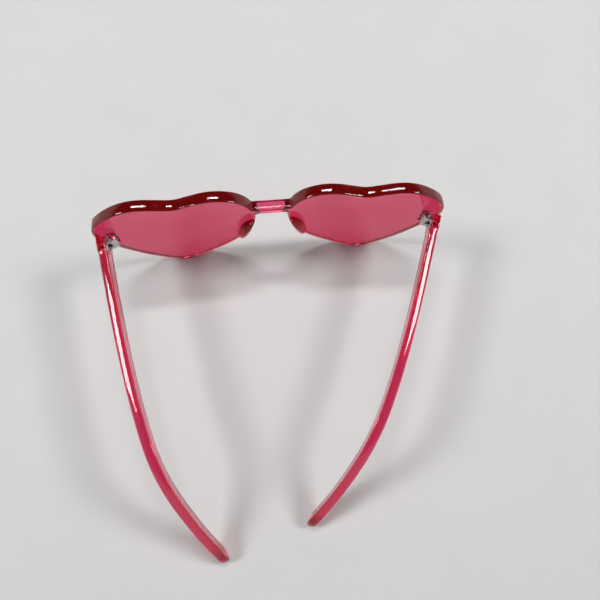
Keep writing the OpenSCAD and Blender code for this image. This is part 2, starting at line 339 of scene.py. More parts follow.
def pad_section(z):
    """Nose side, outer side and depth of the pad at a height z, or None past its ends"""
    a, b, dz = pad_t, pad_len / 2, z - pad_z
    c, s = math.cos(pad_slant), math.sin(pad_slant)
    p = (c / a) ** 2 + (s / b) ** 2
    q = dz * c * s * (1 / a**2 - 1 / b**2)
    r = (dz * s / a) ** 2 + (dz * c / b) ** 2 - 1
    if q * q - p * r <= 0 or abs(dz) >= b:
        return None
    root = math.sqrt(q * q - p * r)
    falling = heart[:spline_steps * nose_spans][::-1]
    nose_side = max(pad_x + (-q - root) / p, float(np.interp(z, falling[:, 1], falling[:, 0])))
    outer_side = pad_x + (-q + root) / p
    depth = pad_depth * math.sqrt(1 - (dz / b) ** 2)
    return (nose_side, outer_side, depth) if outer_side - nose_side > pad_least_t else None


def pad_bmesh():
    """The pad on the wearer's left, lofted through its sections"""
    heights = np.linspace(pad_z - pad_len / 2, pad_z + pad_len / 2, pad_levels)
    levels = [z for z in heights if pad_section(z)]
    low, high = levels[0], levels[-1]
    bm = bmesh.new()
    wear_and_glow_layer = bm.verts.layers.float.new("edge_wear")
    rings = []
    for k in np.linspace(0, 1, pad_rings):
        z = low + (high - low) * (1 - math.cos(math.pi * k)) / 2
        nose_side, outer_side, depth = pad_section(min(max(z, low), high))
        middle, half = (nose_side + outer_side) / 2 - pad_x + pad_step, (outer_side - nose_side) / 2
        dome = min(pad_dome * half, depth * pad_dome_limit)
        flat = [(middle - half, -pad_root)]
        flat += [(middle - half * math.cos(a), depth - dome + dome * math.sin(a))
                 for a in np.linspace(0, math.pi, dome_steps)]
        flat += [(middle + half, -pad_root)]
        ring = []
        for x, y in flat:
            v = bm.verts.new((pad_x + x * math.cos(pad_splay) + y * math.sin(pad_splay),
                              plate_t - x * math.sin(pad_splay) + y * math.cos(pad_splay), z))
            # How rubbed the pad is here, which also sets how strongly the painted red glow shows
            v[wear_and_glow_layer] = pad_dome_wear_and_glow if y > depth - dome else pad_side_wear_and_glow
            ring.append(v)
        rings.append(ring)
    count = len(rings[0])
    for lower, upper in zip(rings, rings[1:]):
        for i in range(count):
            j = (i + 1) % count
            bm.faces.new((lower[i], lower[j], upper[j], upper[i]))
    bm.faces.new(rings[0])
    bm.faces.new(rings[-1])
    bmesh.ops.recalc_face_normals(bm, faces=bm.faces)
    return bm


pad_pair = merged([(pad_bmesh(), Matrix.Identity(4)), (pad_bmesh(), Matrix.Scale(-1, 4, (1, 0, 0)))])
plate = boolean(plate_mesh(), pad_pair, "UNION")

# Each hinge sits in a pocket of the plate's back. Its foot and two studs are let into the floor.
pocket_w = 4.3
pocket_round = 0.22
pocket_past_back = 1.5
recess_past_floor = 0.1
knuckle_d = 3.5
foot_w = 3.6
foot_t = 0.9
stud_d = 1.4
foot_stud_len = 1.8
pin_turn = math.asin((front_w / 2 - hinge_in) / wrap_r)
pin_r = wrap_r - plate_t - hinge_back
pin_x = pin_r * math.sin(pin_turn)
pin_y = wrap_r - pin_r * math.cos(pin_turn)
pin_z = frame["joints"][0]["pos_m"][2] / MM
floor_y = -knuckle_d / 2 - part_gap
foot_y = floor_y - foot_t
foot_stud_share = 0.28
foot_stud_z = hinge_h * foot_stud_share
to_frame = Matrix.Translation((0, cad_low.y, 0)) @ Matrix.Scale(MM, 4)


def at_pin(side, angle):
    """The place of a hinge pin, drawn for the wearer's left and mirrored for the right, in mm"""
    flip = Matrix.Scale(-1, 4, (1, 0, 0)) if side < 0 else Matrix.Identity(4)
    return flip @ Matrix.Translation((pin_x, pin_y, pin_z)) @ Matrix.Rotation(angle, 4, "Z")


def rod(radius, length, towards, chamfer=0.0, turns=32):
    """A round rod from the origin towards +X or -Y, as a bmesh"""
    shape = [(0, 0), (radius, 0), (radius, length - chamfer)]
    if chamfer:
        shape.append((radius - chamfer, length))
    bm = lathed(shape + [(0, length)], turns)
    turn = Matrix.Rotation(math.radians(90), 4, "Y" if towards == "+X" else "X")
    bmesh.ops.transform(bm, matrix=turn, verts=bm.verts)
    return bm


pockets, recesses, stud_holes = [], [], []
pocket_top = hinge_h / 2 + part_gap
recess_x, recess_top = foot_w / 2 + inset_clear, hinge_h / 2 + inset_clear
for side in (-1, 1):
    place = at_pin(side, pin_turn)
    pockets.append((soft_box((-pocket_w / 2, floor_y, -pocket_top),
                             (pocket_w / 2, pocket_past_back, pocket_top), pocket_round), place))
    recesses.append((soft_box((-recess_x, foot_y - inset_clear, -recess_top),
                              (recess_x, floor_y + recess_past_floor, recess_top), 0), place))
    for z in (-foot_stud_z, foot_stud_z):
        hole = rod(stud_d / 2 + inset_clear, foot_stud_len + inset_clear, "-Y")
        stud_holes.append((hole, place @ Matrix.Translation((0, foot_y, z))))
for tools in (pockets, recesses, stud_holes):
    plate = boolean(plate, merged(tools), "DIFFERENCE")
plate.transform(to_frame)


def finished(name, mesh, material, sharp=40):
    """A piece with its material, smooth but for its sharp edges, shaded by its larger faces"""
    mesh.name = name
    mesh.materials.clear()
    mesh.materials.append(material)
    mesh.polygons.foreach_set("use_smooth", [True] * len(mesh.polygons))
    mesh.set_sharp_from_angle(angle=math.radians(sharp))
    obj = linked(name, mesh)
    shade = obj.modifiers.new("shade_by_area", "WEIGHTED_NORMAL")
    shade.keep_sharp = True
    return obj


def add_node(tree, kind, sockets=None, **settings):
    """A node with its settings, and its inputs given as values or as sockets to link"""
    node = tree.nodes.new(kind)
    for key, value in settings.items():
        setattr(node, key, value)
    for key, value in (sockets or {}).items():
        if isinstance(value, bpy.types.NodeSocket):
            tree.links.new(value, node.inputs[key])
        else:
            node.inputs[key].default_value = value
    return node


def math_node(tree, operation, *values, **settings):
    """The result of a sum on numbers and sockets"""
    return add_node(tree, "ShaderNodeMath", dict(enumerate(values)),
                    operation=operation, **settings).outputs["Value"]


def noise(tree, place, scale, detail, roughness=0.5):
    """The outputs of a noise pattern that follows the object"""
    return add_node(tree, "ShaderNodeTexNoise",
                    {"Vector": place, "Scale": scale, "Detail": detail, "Roughness": roughness}).outputs


def remapped(tree, value, given, wanted=(0.0, 1.0), **settings):
    """A value moved from one range to another"""
    return add_node(tree, "ShaderNodeMapRange",
                    {"Value": value, "From Min": given[0], "From Max": given[1],
                     "To Min": wanted[0], "To Max": wanted[1]}, **settings).outputs["Result"]


def bumped(tree, height, strength, distance):
    """A normal that follows a height"""
    return add_node(tree, "ShaderNodeBump",
                    {"Height": height, "Strength": strength, "Distance": distance}).outputs["Normal"]


# The tint works by the light's way through the plastic: pink through the faces, deep red along
# the edges. A dim red glow is painted on, stronger at the edges, in place of light trapped in it.
plastic_ior = 1.585
plastic_tint = (0.885, 0.09, 0.41, 1)
tint_density = 540.0
surface_tint = (1.0, 0.97, 0.98, 1)
painted_glow_red = (1.0, 0.0, 0.0, 1)
painted_face_glow = 0.025
painted_edge_glow = 0.088
haze_scale = 55.0
haze_range = (0.42, 0.75)
haze_roughness = (0.012, 0.08)
scratch_scale = 160.0
scratch_bend = 0.012
scratch_bend_scale = 180.0
scratch_width = 0.006
scratch_patch_scale = 95.0
scratch_patch_level = 0.6
scratch_roughness = 0.18
scratch_relief = -0.8
rub_scale = 420.0
rub_range = (0.5, 0.7)
rub_roughness = 0.16
wave_scale = 130.0
wave_strength = 0.14
wave_height = 0.02 * MM


def clear_pink_plastic():
    """Clear pink polycarbonate: tinted right through, polished, with handling marks, rubbed edges and a
    painted red glow
    """
    material = bpy.data.materials.new("clear_pink_plastic")
    material.use_nodes = True
    tree = material.node_tree
    tree.nodes.clear()
    place = add_node(tree, "ShaderNodeTexCoord").outputs["Object"]
    wear_and_glow = add_node(tree, "ShaderNodeAttribute", attribute_name="edge_wear").outputs["Fac"]

    # Haze of handling, in patches of a few centimetres with finer mottling
    haze = noise(tree, place, haze_scale, detail=6.0, roughness=0.62)["Fac"]
    haze_level = remapped(tree, haze, haze_range, haze_roughness)

    # Fine scratches: thin cell borders, kept only in patches
    bent = noise(tree, place, scratch_bend_scale, detail=2.0)["Color"]
    shifted = add_node(tree, "ShaderNodeMix", {"Factor": scratch_bend, "A": place, "B": bent},
                       data_type="VECTOR").outputs["Result"]
    cells = add_node(tree, "ShaderNodeTexVoronoi", {"Vector": shifted, "Scale": scratch_scale},
                     feature="DISTANCE_TO_EDGE").outputs["Distance"]
    line = math_node(tree, "LESS_THAN", cells, scratch_width)
    patches = noise(tree, place, scratch_patch_scale, detail=3.0)["Fac"]
    kept = math_node(tree, "GREATER_THAN", patches, scratch_patch_level)
    scratch = math_node(tree, "MULTIPLY", line, kept)

    # Worn edges: rubbed dull in short stretches
    rubs = noise(tree, place, rub_scale, detail=4.0)["Fac"]
    rubbed = remapped(tree, rubs, rub_range, (0.0, rub_roughness))
    edge = math_node(tree, "MULTIPLY", rubbed, wear_and_glow)
    marks = math_node(tree, "MULTIPLY_ADD", scratch, scratch_roughness, edge)
    rough = math_node(tree, "ADD", haze_level, marks, use_clamp=True)

    # Faint waviness of the moulding, and the depth of the scratches
    waves = noise(tree, place, wave_scale, detail=2.0)["Fac"]
    relief = math_node(tree, "MULTIPLY_ADD", scratch, scratch_relief, waves)
    normal = bumped(tree, relief, wave_strength, wave_height)

    # Painted glow: red emission in place of light trapped in the plastic, strongest at rubbed edges
    glow = remapped(tree, wear_and_glow, (0.0, band_wear_and_glow), (painted_face_glow, painted_edge_glow))
    surface = add_node(tree, "ShaderNodeBsdfPrincipled",
                       {"Base Color": surface_tint, "Roughness": rough, "IOR": plastic_ior,
                        "Transmission Weight": 1.0, "Normal": normal, "Emission Color": painted_glow_red,
                        "Emission Strength": glow}).outputs["BSDF"]
    tint = add_node(tree, "ShaderNodeVolumeAbsorption",
                    {"Color": plastic_tint, "Density": tint_density}).outputs["Volume"]
    add_node(tree, "ShaderNodeOutputMaterial", {"Surface": surface, "Volume": tint})
    return material


clear_plastic = clear_pink_plastic()
plate_piece = finished("plate_with_nose_pads", plate, clear_plastic)
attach(plate_piece, "front")
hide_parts("front_plate")

# TEMPLES
# Two bars of the same clear plastic, moulded in their curve: each bows inward over its whole
# length, drops behind the ear and ends in a rounded tip. Behind a flat front block, whose inner
# face takes the hinge leaf in a recess, its upper and lower edges curve away to the outside.
temple_len = 141.98
temple_t = 3.8
temple_front_h = 8.8
temple_mid_h = 7.0
temple_tip_h = 7.4
temple_tip_r = 4.4
end_round = 0.4
temple_edge_r = 0.6
edge_arc_steps = 7
temple_crown = 0.85
front_block = 5.6
crown_ease = 1.2
bow_angle = math.radians(25.4)
bow_half_share = 0.177
bow_power = math.log(bow_half_share) / math.log(0.5)
open_lean = math.radians(9.9)
ear_drop = 33.39
drop_start = 86.5
drop_ease = 23.5
tip_end_share = 0.35
end_stations = 6
body_stations = 150
tip_stations = 14
width_points = 9
height_points = 5
corner_wear_and_glow = 2.2
left_fold = 0.0
right_fold = math.radians(11.3)
leaf_t = 1.0
leaf_len = 5.2
leaf_stud_len = 1.9
leaf_x = knuckle_d / 2 + part_gap
inner_x = leaf_x + part_gap
lean_gap = open_lean - pin_turn
temple_front_y = -hinge_back / math.cos(lean_gap) - inner_x * math.tan(lean_gap) + part_gap
leaf_stud_share = 0.45
leaf_stud_y = leaf_len * leaf_stud_share
recess_past_face = 0.5
recess_past_end = 1.0


def fall_length(q):
    """Length over which the temple falls, up to a length q along it"""
    if q < drop_start:
        return 0.0
    if q < drop_start + drop_ease:
        return (q - drop_start) ** 2 / (2 * drop_ease)
    return q - drop_start - drop_ease / 2


def temple_stations():
    """Lengths along the temple: close together where its end and its tip round off"""
    body_end = temple_len - temple_tip_r
    front = [end_round * (1 - math.cos(a)) for a in np.linspace(0, math.pi / 2, end_stations)]
    body = list(np.linspace(end_round, body_end, body_stations))[1:-1]
    sweep = math.acos(tip_end_share)
    tip = [temple_len - temple_tip_r * (1 - math.sin(sweep * k) / math.sin(sweep))
           for k in np.linspace(0, 1, tip_stations)]
    return [float(q) for q in front + body + tip]


def temple_path():
    """The temple's centre line with its section at every station, drawn for the wearer's left"""
    stations = temple_stations()
    slope_unit = ear_drop / fall_length(temple_len)
    place = Vector((inner_x + temple_t / 2, temple_front_y))
    rows = []
    for i, q in enumerate(stations):
        turn = bow_angle * (q / temple_len) ** bow_power
        pitch = math.atan(slope_unit * max(0, min(1, (q - drop_start) / drop_ease)))
        s = q / temple_len
        height = (temple_front_h * (1 - 2 * s) * (1 - s) + temple_mid_h * 4 * s * (1 - s)
                  + temple_tip_h * s * (2 * s - 1))
        into_tip = max(0.0, q - (temple_len - temple_tip_r)) / temple_tip_r
        left = math.cos(math.asin(min(1, math.sin(math.acos(tip_end_share)) * into_tip)))
        ease = max(0.0, min(1.0, (q - front_block) / crown_ease))
        crown = temple_crown * ease * ease * (3 - 2 * ease) * left
        shrink = end_round - math.sqrt(max(0, end_round**2 - max(0, end_round - q) ** 2))
        outward_here = Vector((math.cos(turn), math.sin(turn), 0))
        upward_here = Vector((-math.sin(turn) * math.sin(pitch), math.cos(turn) * math.sin(pitch),
                              math.cos(pitch)))
        rows.append((Vector((place.x, place.y, -slope_unit * fall_length(q))),
                     temple_t / 2 * math.sqrt(left) - shrink, height / 2 * left - shrink,
                     outward_here, upward_here, crown))
        if i + 1 < len(stations):
            following = stations[i + 1]
            middle_turn = bow_angle * ((q + following) / 2 / temple_len) ** bow_power
            place = place + (following - q) * Vector((-math.sin(middle_turn), math.cos(middle_turn)))
    return rows


def path_object(rows):
    """The centre line as a chain of edges that carries the section's sizes and directions"""
    mesh = bpy.data.meshes.new("temple_path")
    mesh.from_pydata([r[0] for r in rows], [(i, i + 1) for i in range(len(rows) - 1)], [])
    columns = ("centre", "half_width", "half_height", "outward", "upward", "crown")
    for name, column in zip(columns, zip(*rows)):
        is_vector = isinstance(column[0], Vector)
        layer = mesh.attributes.new(name, "FLOAT_VECTOR" if is_vector else "FLOAT", "POINT")
        layer.data.foreach_set("vector" if is_vector else "value", np.array(column).ravel())
    return linked("temple_path", mesh)


def section_object():
    """The temple's section as a ring: each point's share of the flat span and place on a corner arc"""
    corner = np.linspace(0, math.pi / 2, edge_arc_steps)
    spans, arcs = [], []
    for k, (sx, sy) in enumerate(((1, 1), (-1, 1), (-1, -1), (1, -1))):
        spans += [(sx, sy, 0.0)] * edge_arc_steps
        arcs += [(math.cos(a + k * math.pi / 2), math.sin(a + k * math.pi / 2), 0.0) for a in corner]
        across = k % 2 == 0
        for t in np.linspace(1, -1, width_points if across else height_points)[1:-1]:
            spans.append((float(sx * t), sy, 0.0) if across else (sx, float(sy * t), 0.0))
            arcs.append((0.0, sy, 0.0) if across else (sx, 0.0, 0.0))
    mesh = bpy.data.meshes.new("temple_section")
    mesh.from_pydata([Vector(a) + Vector(b) for a, b in zip(spans, arcs)],
                     [(i, (i + 1) % len(spans)) for i in range(len(spans))], [])
    for name, rows in (("span", spans), ("arc", arcs)):
        layer = mesh.attributes.new(name, "FLOAT_VECTOR", "POINT")
        layer.data.foreach_set("vector", np.array(rows).ravel())
    return linked("temple_section", mesh)


def node_group(name, inputs, output):
    """An empty geometry nodes tree with its named inputs, and the sockets that they are read from"""
    tree = bpy.data.node_groups.new(name, "GeometryNodeTree")
    for title, kind in inputs.items():
        tree.interface.new_socket(title, in_out="INPUT", socket_type=f"NodeSocket{kind}")
    tree.interface.new_socket(output, in_out="OUTPUT", socket_type="NodeSocketGeometry")
    return tree, add_node(tree, "NodeGroupInput").outputs


def finish_group(tree, output, geometry, material):
    """Ends a tree with real geometry in its material"""
    real = add_node(tree, "GeometryNodeRealizeInstances", {"Geometry": geometry}).outputs["Geometry"]
    painted = add_node(tree, "GeometryNodeSetMaterial",
                       {"Geometry": real, "Material": material}).outputs["Geometry"]
    add_node(tree, "NodeGroupOutput", {output: painted})
    return tree


def sweep_tree():
    """Geometry nodes that sweep a section along a path that carries the section's sizes"""
    inputs = {"Path": "Geometry", "Section": "Object", "Corner radius": "Float", "Plastic": "Material"}
    tree, given = node_group("rounded_bar_sweep", inputs, "Bar")
    corner = given["Corner radius"]

    def named(name, kind="FLOAT_VECTOR"):
        """A value or a vector that the path or the section carries"""
        return add_node(tree, "GeometryNodeInputNamedAttribute", {"Name": name},
                        data_type=kind).outputs["Attribute"]

    def vector_sum(first, second):
        """The sum of two vectors"""
        return add_node(tree, "ShaderNodeVectorMath", {0: first, 1: second},
                        operation="ADD").outputs["Vector"]

    ring = add_node(tree, "GeometryNodeObjectInfo", {"Object": given["Section"]}).outputs["Geometry"]
    section = add_node(tree, "GeometryNodeMeshToCurve", {"Mesh": ring}).outputs["Curve"]
    rail = add_node(tree, "GeometryNodeMeshToCurve", {"Mesh": given["Path"]}).outputs["Curve"]
    bar = add_node(tree, "GeometryNodeCurveToMesh",
                   {"Curve": rail, "Profile Curve": section, "Fill Caps": True}).outputs["Mesh"]

    # Each point goes out by its share of the flat span and its place on the corner arc. The upper
    # and lower edges fall away from the inner face to the outer one by the crown.
    span = add_node(tree, "ShaderNodeSeparateXYZ", {"Vector": named("span")}).outputs
    arc = add_node(tree, "ShaderNodeSeparateXYZ", {"Vector": named("arc")}).outputs
    reach = []
    for half, axis in (("half_width", "X"), ("half_height", "Y")):
        flat = math_node(tree, "SUBTRACT", named(half, "FLOAT"), corner)
        reach.append(math_node(tree, "ADD", math_node(tree, "MULTIPLY", span[axis], flat),
                               math_node(tree, "MULTIPLY", arc[axis], corner)))
    across = math_node(tree, "DIVIDE", reach[0], named("half_width", "FLOAT"))
    aside = math_node(tree, "MULTIPLY_ADD", across, 0.5, 0.5)
    sag = math_node(tree, "MULTIPLY", math_node(tree, "MULTIPLY", aside, aside), named("crown", "FLOAT"))
    reach[1] = math_node(tree, "SUBTRACT", reach[1], math_node(tree, "MULTIPLY", sag, span["Y"]))
    offsets = [add_node(tree, "ShaderNodeVectorMath", {0: named(direction), "Scale": amount},
                        operation="SCALE").outputs["Vector"]
               for amount, direction in zip(reach, ("outward", "upward"))]
    where = vector_sum(named("centre"), vector_sum(*offsets))
    placed = add_node(tree, "GeometryNodeSetPosition",
                      {"Geometry": bar, "Position": where}).outputs["Geometry"]

    # The corners are rubbed, the flat faces are not; the same value sets the painted red glow
    arc_x, arc_y = (math_node(tree, "ABSOLUTE", arc[axis]) for axis in "XY")
    on_corner = math_node(tree, "MULTIPLY", arc_x, arc_y)
    worn_and_glowing = math_node(tree, "MINIMUM", math_node(tree, "MULTIPLY", on_corner, corner_wear_and_glow), 1.0)
    aged = add_node(tree, "GeometryNodeStoreNamedAttribute",
                    {"Geometry": placed, "Name": "edge_wear", "Value": worn_and_glowing},
                    data_type="FLOAT", domain="POINT").outputs["Geometry"]
    return finish_group(tree, "Bar", aged, given["Plastic"])


def grown(base, tree, values):
    """The plain mesh that a geometry nodes tree makes on an object with the given named inputs"""
    step = base.modifiers.new("grow", "NODES")
    step.node_group = tree
    for item in tree.interface.items_tree:
        if item.in_out == "INPUT" and item.name in values:
            step[item.identifier] = values[item.name]
    depsgraph = bpy.context.evaluated_depsgraph_get()
    mesh = bpy.data.meshes.new_from_object(base.evaluated_get(depsgraph))
    source = base.data
    bpy.data.objects.remove(base)
    bpy.data.meshes.remove(source)
    return mesh


bar_sweep = sweep_tree()
bar_section = section_object()


def temple_mesh():
    """A temple in the frame of its hinge pin, with the recess for the leaf and its stud"""
    bar = grown(path_object(temple_path()), bar_sweep,
                {"Section": bar_section, "Corner radius": temple_edge_r, "Plastic": clear_plastic})
    bm = bmesh.new()
    bm.from_mesh(bar)
    bmesh.ops.remove_doubles(bm, verts=bm.verts, dist=same_point)
    bmesh.ops.recalc_face_normals(bm, faces=bm.faces)
    bm.to_mesh(bar)
    bm.free()
    seat_top = hinge_h / 2 + inset_clear
    seat = soft_box((leaf_x - recess_past_face, temple_front_y - recess_past_end, -seat_top),
                    (leaf_x + leaf_t + inset_clear, leaf_len + inset_clear, seat_top), 0)
    hole = rod(stud_d / 2 + inset_clear, leaf_stud_len + 2 * inset_clear, "+X")
    bar = boolean(bar, mesh_of(seat), "DIFFERENCE")
    return boolean(bar, mesh_of(hole, Matrix.Translation((leaf_x + leaf_t, leaf_stud_y, 0))), "DIFFERENCE")


def placed_at_pin(mesh, side, angle):
    """Moves a mesh from the frame of a hinge pin into the shared frame"""
    mesh.transform(to_frame @ at_pin(side, angle))
    if side < 0:
        mesh.flip_normals()
    return mesh


temple_rest = {"left": (1, open_lean + left_fold), "right": (-1, open_lean + right_fold)}
for name, (side, angle) in temple_rest.items():
    bar = placed_at_pin(temple_mesh(), side, angle)
    temple_piece = finished(f"{name}_temple_bar", bar, clear_plastic)
    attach(temple_piece, f"{name}_temple")
    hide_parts(f"{name}_temple")
bpy.data.objects.remove(bar_section)

# FRONT HINGE LEAVES
# Each is one piece of nickel plated steel: a foot let into the pocket's floor, two studs that
# hold it in the plastic, and the middle knuckle of the hinge on a short web.
knuckle_gap = 0.1
knuckle_h = (hinge_h - 2 * knuckle_gap) / 3
screw_d = 1.4
screw_clear = 0.04
rim_round = 0.28
rim_steps = 5
leaf_bevel = 0.1
web_w = 0.6 * knuckle_d
web_inset = 0.02
stud_chamfer = 0.15
stud_overlap = 0.05
nickel = (0.6, 0.59, 0.575, 1)
nickel_tarnished = (0.24, 0.23, 0.22, 1)
nickel_rubbed = (0.9, 0.89, 0.87, 1)
grime_and_shade_color = (0.035, 0.03, 0.03, 1)
tarnish_scale = 700.0
tarnish_range = (0.48, 0.72)
rubbed_range = (0.5, 0.6)
grime_and_shade_reach = 0.7 * MM
grime_and_shade_samples = 8
grime_and_shade_range = (0.25, 0.65)
grime_and_shade_share = 0.92
grime_roughness = 0.3
metal_roughness = (0.16, 0.38)
brush_stretch = (400.0, 400.0, 9000.0)
brush_roughness = 0.1
brush_strength = 0.3
brush_height = 0.01 * MM
metal_sharp = 30


def knuckle_drum():
    """A solid knuckle about the hinge pin with rounded rims, as a bmesh"""
    r, half_h, rim = knuckle_d / 2, knuckle_h / 2, rim_round
    turns = np.linspace(0, math.pi / 2, rim_steps)
    shape = [(0, -half_h)]
    shape += [(r - rim + rim * math.sin(a), -half_h + rim - rim * math.cos(a)) for a in turns]
    shape += [(r - rim + rim * math.cos(a), half_h - rim + rim * math.sin(a)) for a in turns]
    return lathed(shape + [(0, half_h)])


def mixed_color(tree, share, first, second):
    """A colour between two others"""
    return add_node(tree, "ShaderNodeMix", {"Factor": share, "A": first, "B": second},
                    data_type="RGBA").outputs["Result"]


def nickel_steel_material():
    """Nickel plated steel: bright, faintly brushed, rubbed at the edges, tarnished, grimy and darkened with
    painted shade in the gaps
    """
    material = bpy.data.materials.new("nickel_plated_steel")
    material.use_nodes = True
    tree = material.node_tree
    tree.nodes.clear()
    place = add_node(tree, "ShaderNodeTexCoord").outputs["Object"]
    dull = remapped(tree, noise(tree, place, tarnish_scale, detail=5.0)["Fac"], tarnish_range)
    color = mixed_color(tree, dull, nickel, nickel_tarnished)
    ridge = add_node(tree, "ShaderNodeNewGeometry").outputs["Pointiness"]
    bright = mixed_color(tree, remapped(tree, ridge, rubbed_range), color, nickel_rubbed)
    # Painted shade, partly a grimy deposit: darker and rougher in gaps and corners, found by ambient
    # occlusion
    openness = add_node(tree, "ShaderNodeAmbientOcclusion", {"Distance": grime_and_shade_reach},
                        samples=grime_and_shade_samples).outputs["AO"]
    grime_and_shade = remapped(tree, openness, grime_and_shade_range, (grime_and_shade_share, 0.0))
    shown = mixed_color(tree, grime_and_shade, bright, grime_and_shade_color)
    stretched = add_node(tree, "ShaderNodeMapping",
                         {"Vector": place, "Scale": brush_stretch}).outputs["Vector"]
    brush = noise(tree, stretched, 1.0, detail=3.0)["Fac"]
    rough = remapped(tree, dull, (0.0, 1.0), metal_roughness)
    brushed = math_node(tree, "MULTIPLY_ADD", brush, brush_roughness, rough)
    rough_here = math_node(tree, "MULTIPLY_ADD", grime_and_shade, grime_roughness, brushed)
    normal = bumped(tree, brush, brush_strength, brush_height)
    metal = add_node(tree, "ShaderNodeBsdfPrincipled",
                     {"Base Color": shown, "Metallic": 1.0, "Roughness": rough_here,
                      "Normal": normal}).outputs["BSDF"]
    add_node(tree, "ShaderNodeOutputMaterial", {"Surface": metal})
    return material


nickel_steel = nickel_steel_material()


def front_leaf_mesh():
    """The front leaf in the frame of its hinge pin"""
    foot = soft_box((-foot_w / 2, foot_y, -hinge_h / 2), (foot_w / 2, floor_y, hinge_h / 2), leaf_bevel)
    web_top, bore_r = knuckle_h / 2 - web_inset, screw_d / 2 + screw_clear
    web = soft_box((-web_w / 2, floor_y - foot_t / 2, -web_top), (web_w / 2, 0, web_top), leaf_bevel)
    bore = lathed([(0, -knuckle_h), (bore_r, -knuckle_h), (bore_r, knuckle_h), (0, knuckle_h)])
    body = mesh_of(knuckle_drum())
    for piece, operation in ((web, "UNION"), (foot, "UNION"), (bore, "DIFFERENCE")):
        body = boolean(body, mesh_of(piece), operation)
    studs = [(rod(stud_d / 2, foot_stud_len, "-Y", stud_chamfer),
              Matrix.Translation((0, foot_y + stud_overlap, z))) for z in (-foot_stud_z, foot_stud_z)]
    return boolean(body, merged(studs), "UNION")


for name, side in (("left", 1), ("right", -1)):
    leaf = placed_at_pin(front_leaf_mesh(), side, pin_turn)
    leaf_piece = finished(f"{name}_front_hinge_leaf", leaf, nickel_steel, metal_sharp)
    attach(leaf_piece, "front")
    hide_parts(f"{name}_front_hinge")

# TEMPLE HINGE LEAVES
# Each is one piece of the same steel: a leaf let into the temple's inner face and held by a
# stud, with the upper and lower knuckles on two arms. The upper knuckle is counterbored for the
# screw's head, and the lower one is threaded.
screw_head_d = 2.5
screw_head_h = 0.55
thread_clear = 0.01
bore_overrun = 1.0


def knuckle_pair_tree():
    """Geometry nodes that set a knuckle with its arm at each end of the hinge"""
    inputs = {"Knuckle": "Geometry", "Spacing": "Float", "Count": "Int", "Metal": "Material"}
    tree, given = node_group("knuckle_pair", inputs, "Pair")
    spots = add_node(tree, "GeometryNodePoints", {"Count": given["Count"]}).outputs[0]
    index = add_node(tree, "GeometryNodeInputIndex").outputs["Index"]
    height = math_node(tree, "MULTIPLY", index, given["Spacing"])
    lift = add_node(tree, "ShaderNodeCombineXYZ", {"Z": height}).outputs["Vector"]
    stacked = add_node(tree, "GeometryNodeSetPosition",
                       {"Geometry": spots, "Position": lift}).outputs["Geometry"]
    copies = add_node(tree, "GeometryNodeInstanceOnPoints",
                      {"Points": stacked, "Instance": given["Knuckle"]}).outputs["Instances"]
    return finish_group(tree, "Pair", copies, given["Metal"])


knuckle_pair = knuckle_pair_tree()


def temple_leaf_mesh():
    """The temple leaf in the frame of its hinge pin"""
    arm_top = knuckle_h / 2 - web_inset
    arm = soft_box((0, 0, -arm_top), (leaf_x + leaf_t / 2, knuckle_d / 2 - web_inset, arm_top), leaf_bevel)
    unit = boolean(mesh_of(knuckle_drum()), mesh_of(arm), "UNION")
    low_place = -hinge_h / 2 + knuckle_h / 2
    unit.transform(Matrix.Translation((0, 0, low_place)))
    pair = grown(linked("knuckle", unit), knuckle_pair,
                 {"Spacing": -2 * low_place, "Count": 2, "Metal": nickel_steel})
    top, past_top = hinge_h / 2, hinge_h / 2 + bore_overrun
    leaf = soft_box((leaf_x, temple_front_y, -top), (leaf_x + leaf_t, leaf_len, top), leaf_bevel)
    body = boolean(pair, mesh_of(leaf), "UNION")
    fine, wide, head = screw_d / 2 + thread_clear, screw_d / 2 + screw_clear, screw_head_d / 2 + screw_clear
    bore = lathed([(0, -past_top), (fine, -past_top), (fine, 0), (wide, 0), (wide, top - screw_head_h),
                   (head, top - screw_head_h), (head, past_top), (0, past_top)])
    body = boolean(body, mesh_of(bore), "DIFFERENCE")
    stud = rod(stud_d / 2, leaf_stud_len + stud_overlap, "+X", stud_chamfer)
    stud_place = Matrix.Translation((leaf_x + leaf_t - stud_overlap, leaf_stud_y, 0))
    return boolean(body, mesh_of(stud, stud_place), "UNION")


for name, (side, angle) in temple_rest.items():
    leaf = placed_at_pin(temple_leaf_mesh(), side, angle)
    leaf_piece = finished(f"{name}_temple_hinge_leaf", leaf, nickel_steel, metal_sharp)
    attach(leaf_piece, f"{name}_temple")
    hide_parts(f"{name}_temple_hinge")

# HINGE SCREWS
# A cheese headed steel screw drops into each hinge from above, with its head sunk in the upper
# knuckle and its slot showing.
slot_w = 0.4
slot_depth = 0.3
slot_turn = {"left": math.radians(35), "right": math.radians(-20)}
slot_past_head = 1.0
point_in = 0.2
point_up = 0.25
head_edge = 0.05
head_round = 0.14
head_round_steps = 5


def screw_mesh(slot_angle):
    """A hinge screw in the frame of its pin"""
    low, high, r, head = -hinge_h / 2, hinge_h / 2, screw_d / 2, screw_head_d / 2
    under_head = high - screw_head_h
    shape = [(0, low), (r - point_in, low), (r, low + point_up), (r, under_head),
             (head - head_edge, under_head), (head, under_head + head_edge)]
    shape += [(head - head_round + head_round * math.cos(a), high - head_round + head_round * math.sin(a))
              for a in np.linspace(0, math.pi / 2, head_round_steps)]
    body = mesh_of(lathed(shape + [(0, high)]))
    slot = soft_box((-screw_head_d, -slot_w / 2, high - slot_depth),
                    (screw_head_d, slot_w / 2, high + slot_past_head), 0)
    return boolean(body, mesh_of(slot, Matrix.Rotation(slot_angle, 4, "Z")), "DIFFERENCE")


for name, (side, angle) in temple_rest.items():
    screw = placed_at_pin(screw_mesh(slot_turn[name]), side, angle)
    screw_piece = finished(f"{name}_screw", screw, nickel_steel, metal_sharp)
    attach(screw_piece, f"{name}_temple")
    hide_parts(f"{name}_hinge_screw")

